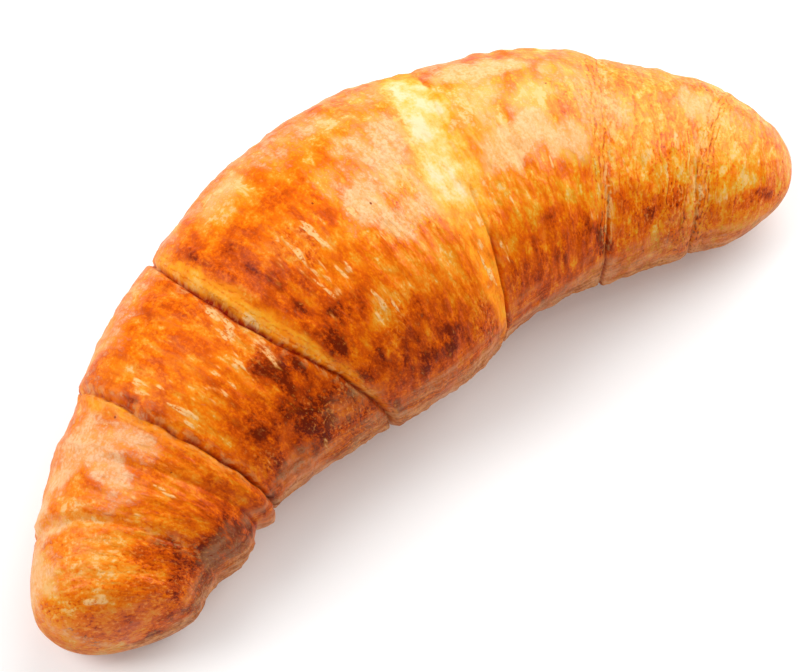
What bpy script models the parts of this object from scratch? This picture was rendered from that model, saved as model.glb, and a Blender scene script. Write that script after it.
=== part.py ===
"""Butter croissant: one baked solid, a crescent-shaped roll of laminated dough that lies on its flat underside.

A place on the roll is given by two numbers. The distance along it runs from the tip of the left horn,
on the bent middle line, in metres. The angle round it is 0 degrees at the hollow side of the crescent,
90 on top, 180 at the outer side and 270 underneath.
"""

import math
from collections import namedtuple

import bmesh
import bpy
import numpy as np
from mathutils import Vector, noise

MM = 0.001

# The roll's length along its bent middle line, and its widths and bends at evenly spaced stations on it.
# The right horn's end runs almost straight.
LENGTH = 172 * MM
WIDTHS = np.array([27.5, 35.5, 44.5, 54, 58, 53.5, 46.5, 35, 28.5]) * MM
BEND_RADII = np.array([27, 124, 134, 85, 2000]) * MM

# Each horn ends in a rounded cap this long
LEFT_CAP = 7 * MM
RIGHT_CAP = 25 * MM
CAP_POWER = 2.2

# The section: its height and the height of its widest place, as shares of its width, and how square it is
HEIGHT_SHARE = 0.74
HORN_HEIGHT_SHARE = 0.80
BELLY_SHARE = 0.42
TOP_POWER = 2.1
LOW_POWER = 2.4
# How far the round section would reach under the flat underside, as a share of the belly's height
FLATTENED = 0.13

# Uneven swelling of the baked dough: the size of the lumps and how far they stand out
LUMPS = ((24 * MM, 0.9 * MM), (9 * MM, 0.35 * MM))

# An edge of the dough sheet that runs round the roll, in millimetres. Its places on the front, top, back and
# underside give the line of its crease. Its ledge is the cut edge of the sheet, which lies above the crease, on
# the side of the roll's middle, or below it, on the side of the horn's tip. Its step is how far the middle side
# stands proud. Widths, steps and creases are given at the front, on top and at the back.
Seam = namedtuple("Seam", "name horn places ledge_above ledge step crease")
SEAMS = (
    Seam("left horn end", "left", (15, 16.5, 15, 15), True, (1, 1.6, 1), (-0.6, 0.5, 0.8), (0.2, 0.2, 0.2)),
    Seam("left horn fold", "left", (31, 26.5, 27, 29), True, (1, 1, 1), (-1.4, 0.3, 0), (0.4, 0, 0)),
    Seam("left inner wrap", "left", (37.5, 34, 36, 39), False, (1.4, 2.8, 2), (-0.6, 1.3, 0.5), (1, 1.1, 0.6)),
    Seam("left outer wrap", "left", (67, 56, 59.5, 66), True, (1.4, 3.6, 2.2), (1.3, 1.8, 0.1), (1, 1, 0.9)),
    Seam("middle wrap", "right", (100.5, 105.5, 109, 102), True, (2, 8.5, 3.5), (0.8, 1, 0.1), (1.2, 0.2, 0.2)),
    Seam("right outer wrap", "right", (130, 135.5, 137.5, 134), True, (2.5, 4, 3), (-0.1, 0.6, 0.5), (0.7, 0.2, 0.2)),
    Seam("right inner wrap", "right", (151.5, 153.5, 160, 153), False, (3, 4, 3), (1, 0.5, -0.3), (0.5, 0.3, 0.3)),
)
# How far each stretch between two seams swells at its middle, in millimetres, at the front, on top and at the back
SWELLS = (
    (-0.9, 0.4, 0.8),
    (2.4, 0.5, -0.4),
    (1.6, 0.2, -0.8),
    (-0.7, 0.9, 0.4),
    (0.5, 1.2, -0.5),
    (-0.3, 0.9, -0.3),
    (0.4, 0.7, -0.3),
    (1.2, 0.6, -1.2),
)
# Half the width of a crease, and the width of the round rim at a ledge's or a sheet's edge
CREASE_HALF = 0.6 * MM
RIM = 1.0 * MM
# The share of its step that a ledge climbs, above or below the crease. The rim takes the rest.
LEDGE_ABOVE_CLIMB = 0.85
LEDGE_BELOW_CLIMB = 0.7

# Mesh spacing along the roll, the turns at which rings stand on the rounded caps, in degrees from the tip, and
# the number of columns above and below the belly
ROW_SPACING = 3.0 * MM
CAP_TURNS = (14, 30, 48, 68, 90)
TOP_COLUMNS = 42
LOW_COLUMNS = 18

CRUST_COLOUR = (0.72, 0.28, 0.05, 1)
CRUST_ROUGHNESS = 0.42
SHARP_EDGE = math.radians(50)


def through(x, knots, values):
    """A smooth curve through values at the knots, read at x."""
    knots, values = np.asarray(knots, float), np.asarray(values, float)
    slopes = np.gradient(values, knots)
    k = np.clip(np.searchsorted(knots, x) - 1, 0, len(knots) - 2)
    gap = knots[k + 1] - knots[k]
    t = (x - knots[k]) / gap
    start = (1 + 2 * t) * (1 - t) ** 2 * values[k] + t * (1 - t) ** 2 * gap * slopes[k]
    end = t**2 * (3 - 2 * t) * values[k + 1] + t**2 * (t - 1) * gap * slopes[k + 1]
    return start + end


def around(angle, front, top, back, under=None):
    """A value that changes smoothly round the roll, given at the front, top, back and underside."""
    side = (front + back) / 2
    under = side if under is None else under
    level = (side + (top + under) / 2) / 2
    twice = (side - (top + under) / 2) / 2
    return level + (front - back) / 2 * np.cos(angle) + (top - under) / 2 * np.sin(angle) + twice * np.cos(2 * angle)


def smooth_step(x):
    """0 below 0, 1 above 1, and a soft rise between them."""
    t = np.clip(x, 0, 1)
    return t * t * (3 - 2 * t)


def middle_line(distance):
    """Where the middle line is and which way it heads, seen from above, at distances along it."""
    steps = np.linspace(0, LENGTH, 800)
    gap = steps[1] - steps[0]
    bend = through(steps, np.linspace(0, LENGTH, len(BEND_RADII)), 1 / BEND_RADII)
    heading = -np.concatenate([[0], np.cumsum((bend[1:] + bend[:-1]) / 2 * gap)])
    half_way = (heading[1:] + heading[:-1]) / 2
    x = np.concatenate([[0], np.cumsum(np.cos(half_way) * gap)])
    y = np.concatenate([[0], np.cumsum(np.sin(half_way) * gap)])
    # Both tips are turned onto one line along X, with the middle towards +Y.
    turn = -math.atan2(y[-1], x[-1])
    x, y = x * math.cos(turn) - y * math.sin(turn), x * math.sin(turn) + y * math.cos(turn)
    return np.interp(distance, steps, x), np.interp(distance, steps, y), np.interp(distance, steps, heading + turn)


def cap_share(distance):
    """How wide the roll is near its rounded ends, as a share of its full width there."""
    left = np.clip(1 - distance / LEFT_CAP, 0, 1)
    right = np.clip(1 - (LENGTH - distance) / RIGHT_CAP, 0, 1)
    return ((1 - left**CAP_POWER) * (1 - right**CAP_POWER)) ** (1 / CAP_POWER)


def seam_line(seam, angle):
    """The distance along the roll at which a seam's crease crosses each angle."""
    return around(angle, *(place * MM for place in seam.places))


def ledge_width(seam, angle):
    return around(angle, *(width * MM for width in seam.ledge))


def climbed(seam, past, width):
    """The share of a seam's step that is climbed at a distance past its crease, towards the roll's middle."""
    if seam.ledge_above:
        on_ledge = np.clip(past / width, 0, 1)
        on_rim = smooth_step((past - width + RIM) / (2 * RIM))
        return LEDGE_ABOVE_CLIMB * on_ledge + (1 - LEDGE_ABOVE_CLIMB) * on_rim
    on_ledge = np.clip(1 + past / width, 0, 1)
    return LEDGE_BELOW_CLIMB * on_ledge + (1 - LEDGE_BELOW_CLIMB) * smooth_step(past / RIM)


def seam_relief(distance, angle):
    """How far the swollen wraps, their steps and their creases move the surface out or in."""
    lines = [0 * angle, *(seam_line(seam, angle) for seam in SEAMS), LENGTH + 0 * angle]
    relief = np.zeros(distance.shape)
    for number, seam in enumerate(SEAMS):
        before, line, after = lines[number : number + 3]
        past = distance - line if seam.horn == "left" else line - distance
        # Each step fades out over both neighbouring stretches, so that it leaves the roll's own width as it is.
        rising = np.clip((distance - before) / (line - before), 0, 1)
        falling = np.clip((distance - line) / (after - line), 0, 1)
        fade = (rising + falling) / 2 if seam.horn == "left" else 1 - (rising + falling) / 2
        groove = np.clip(1 - np.abs(past) / CREASE_HALF, 0, 1)
        relief += around(angle, *seam.step) * MM * (climbed(seam, past, ledge_width(seam, angle)) - fade)
        relief -= np.clip(around(angle, *seam.crease), 0, None) * MM * groove
    for start, end, swell in zip(lines, lines[1:], SWELLS):
        share = np.clip((distance - start) / (end - start), 0, 1)
        relief += around(angle, *swell) * MM * np.sin(np.pi * share)
    return relief


def lumps(points):
    """How far the uneven dough stands out at each point."""
    out = [sum(height * noise.noise(Vector(point) / size) for size, height in LUMPS) for point in points.reshape(-1, 3)]
    return np.reshape(out, points.shape[:-1])


def section(distance, angle):
    """The plain section: how far out to the side and up each place is, and the section's outward direction there."""
    width = through(distance, np.linspace(0, LENGTH, len(WIDTHS)), WIDTHS)
    from_middle = np.abs(2 * distance / LENGTH - 1)
    height = width * (HEIGHT_SHARE + (HORN_HEIGHT_SHARE - HEIGHT_SHARE) * smooth_step(from_middle))
    belly = BELLY_SHARE * height
    cap = cap_share(distance)
    across, up = np.cos(angle), np.sin(angle)
    power = np.where(up > 0, TOP_POWER, LOW_POWER)
    reach = np.where(up > 0, height - belly, belly * (1 + FLATTENED))
    side = np.sign(across) * np.abs(across) ** (2 / power) * width / 2 * cap
    rise = belly + np.sign(up) * np.abs(up) ** (2 / power) * reach * cap
    out_side, out_up = across * reach, up * width / 2
    size = np.hypot(out_side, out_up)
    return side, rise, out_side / size, out_up / size


def surface(distance, angle):
    """Points on the croissant at distances along it and angles round it."""
    distance, angle = np.broadcast_arrays(distance, angle)
    x, y, heading = middle_line(distance)
    side, rise, out_side, out_up = section(distance, angle)
    points = np.stack([x + np.sin(heading) * side, y - np.cos(heading) * side, rise], -1)
    outward = np.stack([np.sin(heading) * out_side, -np.cos(heading) * out_side, out_up], -1)
    points += outward * ((seam_relief(distance, angle) + lumps(points)) * cap_share(distance))[..., None]
    points[..., 2] = np.maximum(points[..., 2], 0)
    return points


def seam_rows(seam, angle):
    """The rows that a seam needs, from left to right: its crease, its ledge's edges and a little beyond each."""
    width = ledge_width(seam, angle)
    creased = [-CREASE_HALF, 0, CREASE_HALF]
    if seam.ledge_above:
        offsets = [-2 * CREASE_HALF, *creased, width, width + 1.5 * RIM]
    else:
        offsets = [-width - RIM, -width, *creased, 2.5 * CREASE_HALF]
    if seam.horn == "right":
        offsets = [-offset for offset in reversed(offsets)]
    return [seam_line(seam, angle) + offset for offset in offsets]


def rows_along(angle):
    """All rows of the mesh, each a distance for every angle, from the left tip to the right one."""
    from_tip = [1 - math.cos(math.radians(turn)) for turn in CAP_TURNS]
    fixed = [LEFT_CAP * share + 0 * angle for share in from_tip]
    for seam in SEAMS:
        fixed += seam_rows(seam, angle)
    # The right cap's rings stand clear of the last seam.
    right_cap = [LENGTH - RIGHT_CAP * share + 0 * angle for share in reversed(from_tip)]
    fixed += [row for row in right_cap if row.min() > fixed[-1].max() + RIM]
    rows = []
    for start, end in zip(fixed, fixed[1:]):
        parts = max(1, round(float(np.mean(end - start)) / ROW_SPACING))
        rows += [start + (end - start) * part / parts for part in range(parts)]
    return np.array(rows + [fixed[-1]])


def columns_round():
    """The angles of the mesh's columns, closer together on top than underneath."""
    top = np.linspace(0, math.pi, TOP_COLUMNS, endpoint=False)
    low = np.linspace(math.pi, 2 * math.pi, LOW_COLUMNS, endpoint=False)
    return np.concatenate([top, low])


def to_origin(mesh):
    """Moves the mesh so that the origin is the middle of its box's underside."""
    points = np.array([vertex.co for vertex in mesh.verts])
    low, high = points.min(0), points.max(0)
    move = (-(low[0] + high[0]) / 2, -(low[1] + high[1]) / 2, -low[2])
    bmesh.ops.translate(mesh, vec=move, verts=mesh.verts)


def croissant_mesh():
    """The closed surface: rings of points round the roll, joined by faces, with a fan over each tip."""
    angle = columns_round()
    rings = surface(rows_along(angle), angle[None, :])
    left_tip, right_tip = surface(np.array([0.0, LENGTH]), np.array([0.0, 0.0]))
    mesh = bmesh.new()
    rows = [[mesh.verts.new(point) for point in ring] for ring in rings]
    count = len(angle)
    for first, second in zip(rows, rows[1:]):
        for column in range(count):
            after = (column + 1) % count
            mesh.faces.new((first[column], first[after], second[after], second[column]))
    for tip, ring in ((left_tip, rows[0]), (right_tip, rows[-1])):
        pole = mesh.verts.new(tip)
        for column in range(count):
            mesh.faces.new((ring[column], ring[(column + 1) % count], pole))
    bmesh.ops.recalc_face_normals(mesh, faces=mesh.faces)
    bmesh.ops.triangulate(mesh, faces=mesh.faces)
    to_origin(mesh)
    return mesh


def crust_material():
    """Baked crust with an egg wash."""
    material = bpy.data.materials.new("crust")
    material.use_nodes = True
    shader = material.node_tree.nodes["Principled BSDF"]
    shader.inputs["Base Color"].default_value = CRUST_COLOUR
    shader.inputs["Roughness"].default_value = CRUST_ROUGHNESS
    shader.inputs["Metallic"].default_value = 0
    return material


def main():
    for old in list(bpy.data.objects):
        bpy.data.objects.remove(old)
    mesh = croissant_mesh()
    data = bpy.data.meshes.new("croissant")
    mesh.to_mesh(data)
    mesh.free()
    data.shade_smooth()
    data.set_sharp_from_angle(angle=SHARP_EDGE)
    data.materials.append(crust_material())
    croissant = bpy.data.objects.new("croissant", data)
    bpy.context.scene.collection.objects.link(croissant)


main()
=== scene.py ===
"""The looks of the croissant: the solid's own crescent roll, with its crust, cut sheet edges and flakes.

A place on the roll is given by its distance along the bent middle line from the left horn's tip, in metres,
and its angle round the roll: 0 degrees at the hollow side, 90 on top, 180 at the outer side, 270 underneath.
Fields over the crust are read at roll places: the distance along, the height above the floor and the way out
to the side, in millimetres, as if the roll were straight.
"""

import math
from collections import namedtuple

import bpy
import numpy as np
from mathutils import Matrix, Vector, noise


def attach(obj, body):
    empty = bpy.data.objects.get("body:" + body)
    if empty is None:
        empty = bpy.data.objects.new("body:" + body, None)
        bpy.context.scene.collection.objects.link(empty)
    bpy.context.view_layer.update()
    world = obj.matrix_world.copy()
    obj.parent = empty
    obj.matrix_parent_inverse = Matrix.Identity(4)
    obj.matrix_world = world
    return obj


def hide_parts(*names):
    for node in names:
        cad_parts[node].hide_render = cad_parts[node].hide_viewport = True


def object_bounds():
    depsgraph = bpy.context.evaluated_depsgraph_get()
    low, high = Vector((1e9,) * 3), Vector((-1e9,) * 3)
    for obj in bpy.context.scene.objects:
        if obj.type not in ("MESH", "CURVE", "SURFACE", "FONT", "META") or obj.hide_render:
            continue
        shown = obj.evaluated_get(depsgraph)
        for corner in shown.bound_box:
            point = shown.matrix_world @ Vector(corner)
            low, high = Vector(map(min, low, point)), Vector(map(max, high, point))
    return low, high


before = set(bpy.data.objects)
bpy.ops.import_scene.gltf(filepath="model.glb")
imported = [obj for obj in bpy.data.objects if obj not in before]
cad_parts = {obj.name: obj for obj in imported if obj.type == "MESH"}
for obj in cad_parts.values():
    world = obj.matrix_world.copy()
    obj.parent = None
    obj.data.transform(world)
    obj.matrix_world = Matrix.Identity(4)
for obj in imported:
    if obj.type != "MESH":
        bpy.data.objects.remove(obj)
CAD_BOX = [list(corner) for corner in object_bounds()]

MM = 0.001

# The plain roll, with the solid's own sizes
LENGTH = 172 * MM
WIDTHS = np.array([27.5, 35.5, 44.5, 54, 58, 53.5, 46.5, 35, 28.5]) * MM
BEND_RADII = np.array([27, 124, 134, 85, 2000]) * MM
LEFT_CAP = 7 * MM
RIGHT_CAP = 25 * MM
CAP_POWER = 2.2
HEIGHT_SHARE = 0.74
HORN_HEIGHT_SHARE = 0.80
BELLY_SHARE = 0.42
TOP_POWER = 2.1
LOW_POWER = 2.4
FLATTENED = 0.13
LUMPS = ((24 * MM, 0.9 * MM), (9 * MM, 0.35 * MM))

# The edges of the dough sheet, in millimetres, with the solid's own places and sizes. Pale is how much of the
# unbaked dough's colour its ledge has and dark how dark the painted shade in its crease is, at the front, on
# top and at the back.
# Layered is how clearly the sheet's layers show on its ledge, and ragged how far its edge wanders.
Seam = namedtuple("Seam", "name horn places ledge_above ledge step crease pale dark layered ragged")
SEAMS = (
    Seam(
        "left horn end", "left", (15, 16.5, 15, 15), True, (1, 1.6, 1), (-0.6, 0.5, 0.8),
        (0.2, 0.2, 0.2), (0, 0.05, 0.05), (0.2, 0.1, 0.1), 0.3, 0.6,
    ),
    Seam(
        "left horn fold", "left", (31, 26.5, 27, 29), True, (1, 1, 1), (-1.4, 0.3, 0),
        (0.4, 0, 0), (0, 0, 0), (0.9, -0.4, 0), 0, 0.6,
    ),
    Seam(
        "left inner wrap", "left", (37.5, 34, 36, 39), False, (1.4, 2.8, 2), (-0.6, 1.3, 0.5),
        (1, 1.1, 0.6), (0.1, 0.35, 0.3), (0.6, 0.8, 0.3), 0.45, 0.8,
    ),
    Seam(
        "left outer wrap", "left", (67, 56, 59.5, 66), True, (1.4, 3.6, 2.2), (1.3, 1.8, 0.1),
        (1, 1, 0.9), (0.2, 0.44, 0.24), (0.6, 1, 0.5), 0.6, 0.35,
    ),
    Seam(
        "middle wrap", "right", (100.5, 105.5, 109, 102), True, (2, 8.5, 3.5), (0.8, 1, 0.1),
        (1.2, 0.2, 0.2), (0.45, 1, 1), (0.5, 0.05, 0), 0.15, 0.5,
    ),
    Seam(
        "right outer wrap", "right", (130, 135.5, 137.5, 134), True, (2.5, 4, 3), (-0.1, 0.6, 0.5),
        (0.7, 0.2, 0.2), (0.05, 0.15, 0.2), (0.7, 0.1, 0), 1, 0.5,
    ),
    Seam(
        "right inner wrap", "right", (151.5, 153.5, 160, 153), False, (3, 4, 3), (1, 0.5, -0.3),
        (0.5, 0.3, 0.3), (0.1, 0.2, 0.25), (0.4, 0.1, 0), 1, 0.6,
    ),
)
LEFT_INNER_WRAP, LEFT_OUTER_WRAP, MIDDLE_WRAP = SEAMS[2:5]
# How far each stretch between two seams swells, in millimetres, at the front, on top and at the back
SWELLS = (
    (-0.9, 0.4, 0.8), (2.4, 0.5, -0.4), (1.6, 0.2, -0.8), (-0.7, 0.9, 0.4),
    (0.5, 1.2, -0.5), (-0.3, 0.9, -0.3), (0.4, 0.7, -0.3), (1.2, 0.6, -1.2),
)
# Half the width of a crease, and the width of the round rim at a ledge's or a sheet's edge
CREASE_HALF = 0.6 * MM
RIM = 1.0 * MM
# The share of its step that a ledge climbs, above or below the crease. The rim takes the rest.
LEDGE_ABOVE_CLIMB = 0.85
LEDGE_BELOW_CLIMB = 0.7

# The fine mesh: its row spacing, the turn between rings on the caps and the columns over stretches of angle
ROW_SPACING = 0.64 * MM
CAP_TURN = 3.5
COLUMN_STRETCHES = ((0, 180, 216), (180, 215, 26), (215, 325, 24), (325, 360, 26))

# Smooth noises over the roll: the size of their grain along, up and out, in millimetres, and each one's seed
GRAINS = {
    "edge wander": ((9, 5, 5), 1), "fine edge wander": ((4, 1.5, 1.5), 2), "ledge edge": ((5, 4, 4), 3),
    "streaks": ((1.5, 6, 6), 11), "blotches": ((5, 9, 9), 12), "tear drift": ((9, 12, 12), 31),
    "fine tear drift": ((2.5, 2.5, 2.5), 32), "flaky areas": ((11, 14, 14), 33),
    "layer drift": ((14, 3, 6), 41), "fine layer drift": ((3, 1.5, 2), 42),
    "strip areas": ((13, 6, 9), 43), "dull areas": ((12, 2.5, 4), 45), "glaze edge": ((9, 12, 12), 46),
    "underside edge": ((5, 5, 5), 47), "fine relief": ((0.9, 2.4, 2.4), 61),
    "crease breaks": ((3, 2, 2), 72), "band edge": ((4, 7, 7), 73), "broad bake": ((14, 16, 16), 81),
    "fine bake": ((2.2, 3.6, 3.6), 82), "patch edge": ((2.5, 6, 6), 83), "veil edge": ((4, 8, 8), 84),
    "fleck edge": ((4, 6, 6), 85), "fine veil edge": ((2, 4, 4), 86), "mottled bake": ((2.4, 6, 6), 87),
    "gold": ((14, 14, 14), 91),
}
# Low scattered bubbles: their spacing and size along, up and out, in millimetres, and their seed
BLISTER_SPACING = (5, 8, 8)
BLISTER_RADIUS = (1.5, 3, 3)
BLISTER_SEED = 21

# The spacing of the torn sheets along the roll, of the layers up its sides, of finer ones of both and of the
# layers across a ledge, in millimetres
TEAR_SPACING = 5.0
FINE_TEAR_SPACING = 1.6
LAYER_SPACING = 1.9
FINE_LAYER_SPACING = 0.8
LAMINATE_SPACING = 2.4
# How far the wave that draws the finer layers across a ledge turns in a millimetre, in radians
LAMINATE_TURN = 6.8

# How far the fine relief stands out, in millimetres, and how far all of it is sunk to stay near the solid
STREAK_HEIGHT = 0.2
BLOTCH_HEIGHT = 0.24
BLISTER_HEIGHT = 0.32
GRAIN_HEIGHT = 0.05
TORN_HEIGHT = 0.2
LAYER_HEIGHT = 0.22
LAMINATE_HEIGHT = 0.1
SUNK = 0.3
# A crease's deep core and the soft lip on its low side: their widths, and their shares of the crease's depth
CORE_HALF = 0.4 * MM
CORE_SHARE = 0.2
LIP_WIDTH = 1.6 * MM
LIP_EDGE = 0.3 * MM
LIP_SHARE = 0.1
# Half the width of the painted shade line in a faint crease, how much wider it is in a strong one, and where
# the left outer wrap's crease gapes and how much wider it is there
DARK_HALF = 0.15 * MM
DARK_WIDER = 0.35 * MM
GAPE = (55.5, 97, 5, 9)
GAPE_WIDER = 0.35 * MM
# How far from a crease crumbs cling to the sheets' edges
CRUMB_REACH = 1.3 * MM
# The dark baked rim above the left wraps: how far above the ledge it runs and how wide it is, in millimetres
BAKED_RIM_ABOVE = 1.0
BAKED_RIM_WIDTH = 1.1
# The least that any of the crust is baked
PALEST_BAKE = 0.14

# Patches that are baked darker, or paler where the number is below 0; most darker ones sit low on the front
# and deepen the painted shade there. Each has the distance along and angle of its middle, its reach along in
# millimetres and round in degrees, and how much darker it is
PATCHES = (
    (20, 26, 9, 16, 0.36), (6, 120, 8, 26, -0.15), (10, 42, 7, 14, 0.25), (14, 96, 5, 30, -0.1),
    (12, 64, 5, 14, 0.25), (8, 10, 7, 14, 0.25), (4, 40, 8, 24, 0.12), (8, 96, 7, 14, -0.1),
    (54, 42, 6, 17, 0.42), (48, 24, 9, 14, 0.2), (55, 66, 5, 11, 0.4), (39, 104, 4, 12, -0.05),
    (51, 91, 3, 6, 0.1), (38, 84, 3, 8, -0.12), (42, 100, 2, 9, 0.15), (36, 110, 2, 6, 0.15),
    (36, 120, 4, 10, -0.15), (50, 112, 9, 16, 0.1), (65, 102, 4, 14, 0.18), (61, 34, 4, 10, 0.18),
    (44, 56, 5, 13, 0.3), (63, 100, 2.5, 26, 0.12), (70, 128, 5, 12, -0.4), (61, 124, 3, 10, 0.12),
    (76, 100, 5, 12, 0.15), (69, 95, 4, 7, -0.15), (67, 70, 3, 12, 0.15), (66, 50, 4, 16, 0.25),
    (63.5, 62, 2, 14, 0.22), (81, 36, 9, 15, 0.25), (76, 53, 4, 7, -0.25), (71, 62, 4, 6, 0.2),
    (68, 84, 3, 8, 0.2), (44, 74, 3, 8, 0.12), (41, 45, 4, 9, 0.15), (71.5, 38, 4, 10, 0.15),
    (78, 48, 4, 7, 0.18), (88, 55, 5, 9, -0.15), (119, 38, 9, 14, 0.26), (110, 70, 5, 9, -0.25),
    (107, 102, 6, 16, -0.3), (123, 100, 4, 8, -0.25), (113.5, 96, 3, 10, -0.25), (139.5, 40, 4, 9, 0.12),
    (125, 47, 3, 8, 0.12), (94, 86, 3, 6, -0.25), (114, 54, 4, 9, -0.1), (128, 48, 2.5, 6, -0.1),
    (142, 46, 8, 12, 0.15), (158, 86, 5, 20, -0.12), (167, 50, 4, 24, 0.15), (146, 38, 5, 9, 0.2),
    (140, 76, 3, 14, -0.12), (150, 64, 4, 12, -0.12), (159, 55, 5, 9, -0.12), (163, 38, 5, 9, 0.25),
    (164, 16, 6, 12, -0.25), (1, 112, 3, 35, 0.2), (131, 26, 4, 9, 0.15), (107, 30, 4, 9, 0.12),
    (32.5, 70, 2.5, 7, 0.12), (26, 12, 4, 8, 0.15), (60, 34, 2, 7, 0.1), (52, 92, 3, 7, 0.1),
    (36, 110, 3, 7, 0.1), (126.5, 60, 3, 7, 0.1), (73, 90, 3, 7, 0.14), (73.5, 60, 3, 8, 0.1),
    (77.5, 67, 3, 6, 0.08), (112, 112, 5, 10, -0.2), (91, 120, 5, 10, -0.2), (28.5, 46, 5, 12, 0.18),
)
# Painted highlights, where the light's pale pinkish sheen is painted into the colour: the same four numbers,
# and how pale it is
PAINTED_SHEEN_PATCHES = (
    (28, 106, 8, 22, 0.8), (21, 98, 5, 12, 0.5), (13, 152, 12, 26, 1.1), (95, 106, 9, 20, 0.78),
    (88, 86, 9, 12, 0.85), (91, 77, 8, 11, 0.95), (84, 97, 5, 9, 0.6), (84, 126, 9, 13, 0.55),
    (70, 130, 6, 9, 0.6), (116, 104, 10, 20, 0.55), (121, 82, 10, 13, 1.2), (117, 128, 8, 14, 0.9),
    (111, 82, 6, 10, 0.85), (127, 77, 5, 14, 0.85), (131, 106, 6, 22, 0.6), (137, 95, 5, 14, 0.6),
    (144, 102, 6, 16, 0.25), (160, 102, 6, 16, 0.5), (153, 106, 5, 16, 0.8), (26, 136, 6, 16, 0.85),
    (31, 160, 6, 14, 0.7), (100, 130, 7, 12, 0.6),
)
# Clusters of painted glints, small pale highlights on the crust's bumps, broad ones and then small ones: the
# same four numbers, and how dense they are
PAINTED_GLINT_PATCHES = (
    (70, 80, 6, 16, 0.6), (77, 54, 4, 8, 0.9), (43, 88, 6, 22, 0.6), (54, 80, 2.5, 22, 0.8),
    (15, 88, 5, 12, 0.5), (24, 72, 4, 10, 0.8), (90, 62, 8, 14, 0.4), (100, 50, 2, 20, 0.9),
    (117, 62, 8, 12, 0.4), (130, 56, 4, 20, 0.6), (147, 80, 8, 20, 0.4), (153, 45, 4, 12, 0.9),
    (163, 60, 5, 16, 0.5), (37.5, 106, 1.4, 8, 1.15), (37, 84, 1.8, 10.5, 1.25),
    (46.5, 85, 1.1, 8.2, 1.15), (50, 81, 1.1, 7, 1.1), (49, 74, 1, 7, 1), (52, 92, 0.9, 7, 0.75),
    (54.5, 98, 1, 8, 0.9), (57, 85, 1, 5.9, 1.1), (56.5, 76, 1, 7, 1.2), (58.5, 62, 1, 5.9, 1.05),
    (69.6, 97, 1.4, 8.2, 1.1), (70.6, 88, 1.1, 5.9, 1.2), (74.3, 86, 1.1, 8.2, 1.2),
    (73.6, 76, 1, 7, 1.1), (72.6, 68, 1, 7, 1.1), (67.7, 86, 1, 5.9, 1), (68.9, 70, 1, 7, 1),
    (75, 58, 1.8, 5.9, 1.15), (77, 50, 1.4, 5.9, 1.1), (82.4, 83, 1.1, 7, 1), (83.2, 72, 1, 7, 1.05),
    (71, 134, 1.4, 9.4, 1.1), (72.5, 122, 1, 8.2, 1), (16, 111, 1.2, 7, 1), (12.5, 88, 1.2, 7, 1),
    (4.2, 104, 1.5, 10.5, 1.1), (21, 83, 1, 7, 0.95), (103, 66, 1.4, 9.4, 1.1), (101.4, 58, 1.1, 7, 1.1),
    (111.2, 63, 1, 7, 1), (104.8, 44, 1, 7, 1), (127.5, 47, 1.1, 7, 1.1), (137, 62, 1, 7, 1),
    (148, 80, 1.4, 9.4, 1.2), (157.7, 40, 1.4, 8.2, 1.2), (152.6, 48, 1.1, 8.2, 1.15),
)
# Places on the front where the crust is dull and greyish, unglazed crust with a painted reflection of the
# white
# table: the same four numbers, and how dull it is
DULL_AND_REFLECTING_PATCHES = (
    (19, 22, 9, 12, 0.4), (8, 22, 8, 10, 0.4), (61, 28, 6, 10, 0.4), (45, 15, 6, 10, 0.6),
    (151, 30, 6, 8, 0.3), (128, 4, 9, 10, 0.7), (145, 14, 7, 10, 0.7), (157, 6, 6, 10, 0.5),
)

# Crust colours from pale to dark baked, at the redder left and the more golden right, and the inner dough's
# from golden to creamy
RED_CRUST = (
    (0.0, (0.78, 0.42, 0.16)), (0.12, (0.78, 0.29, 0.04)), (0.26, (0.78, 0.215, 0.012)),
    (0.45, (0.77, 0.152, 0.001)), (0.64, (0.62, 0.088, 0.001)), (0.84, (0.42, 0.046, 0.001)),
    (1.0, (0.16, 0.013, 0.001)),
)
GOLD_CRUST = (
    (0.0, (0.8, 0.48, 0.16)), (0.12, (0.8, 0.42, 0.045)), (0.26, (0.8, 0.32, 0.012)),
    (0.45, (0.82, 0.2, 0.001)), (0.64, (0.74, 0.106, 0.001)), (0.84, (0.5, 0.058, 0.001)),
    (1.0, (0.2, 0.018, 0.001)),
)
INNER_DOUGH = (
    (0.0, (0.76, 0.14, 0.003)), (0.25, (0.92, 0.25, 0.006)), (0.5, (0.92, 0.36, 0.016)),
    (0.75, (0.83, 0.49, 0.13)), (1.0, (0.78, 0.58, 0.32)),
)
# The dull crust low on the sides, between its layers and on them, unglazed and with a painted reflection of
# the white table
DULL_AND_REFLECTED_CRUST = ((0.32, (0.38, 0.12, 0.035)), (0.5, (0.6, 0.25, 0.095)), (0.7, (0.74, 0.39, 0.18)))
# The painted sheen of reflected light, from its pinkish parts to its creamy ones, and its tint where the
# crust is golden
PAINTED_SHEEN_COLOURS = ((0.35, (0.78, 0.35, 0.12)), (0.5, (0.8, 0.42, 0.19)), (0.65, (0.82, 0.5, 0.28)))
GOLDEN_TINT = (1, 1.04, 0.78, 1)
# How much of a mark covers the crust, and the mark's colour
MARK_COLOURS = {
    # The first two are painted highlights, and the next to last is painted shade in the creases
    "glint halos": (0.4, (0.9, 0.32, 0.02, 1)),
    "painted_glints": (0.85, (0.88, 0.53, 0.22, 1)),
    "underside": (1.0, (0.4, 0.1, 0.01, 1)),
    "pale dots": (0.5, (0.88, 0.38, 0.08, 1)),
    "crumbs": (0.9, (0.88, 0.5, 0.16, 1)),
    "painted crease shade": (1.0, (0.34, 0.014, 0.002, 1)),
    "burnt specks": (1.0, (0.25, 0.03, 0.004, 1)),
}
# How much of the crust the dull crust, with its painted reflection, and the painted sheen cover where they
# are at their fullest
DULL_AND_REFLECTION_SHARE = 0.75
PAINTED_SHEEN_SHARE = 0.9

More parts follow.
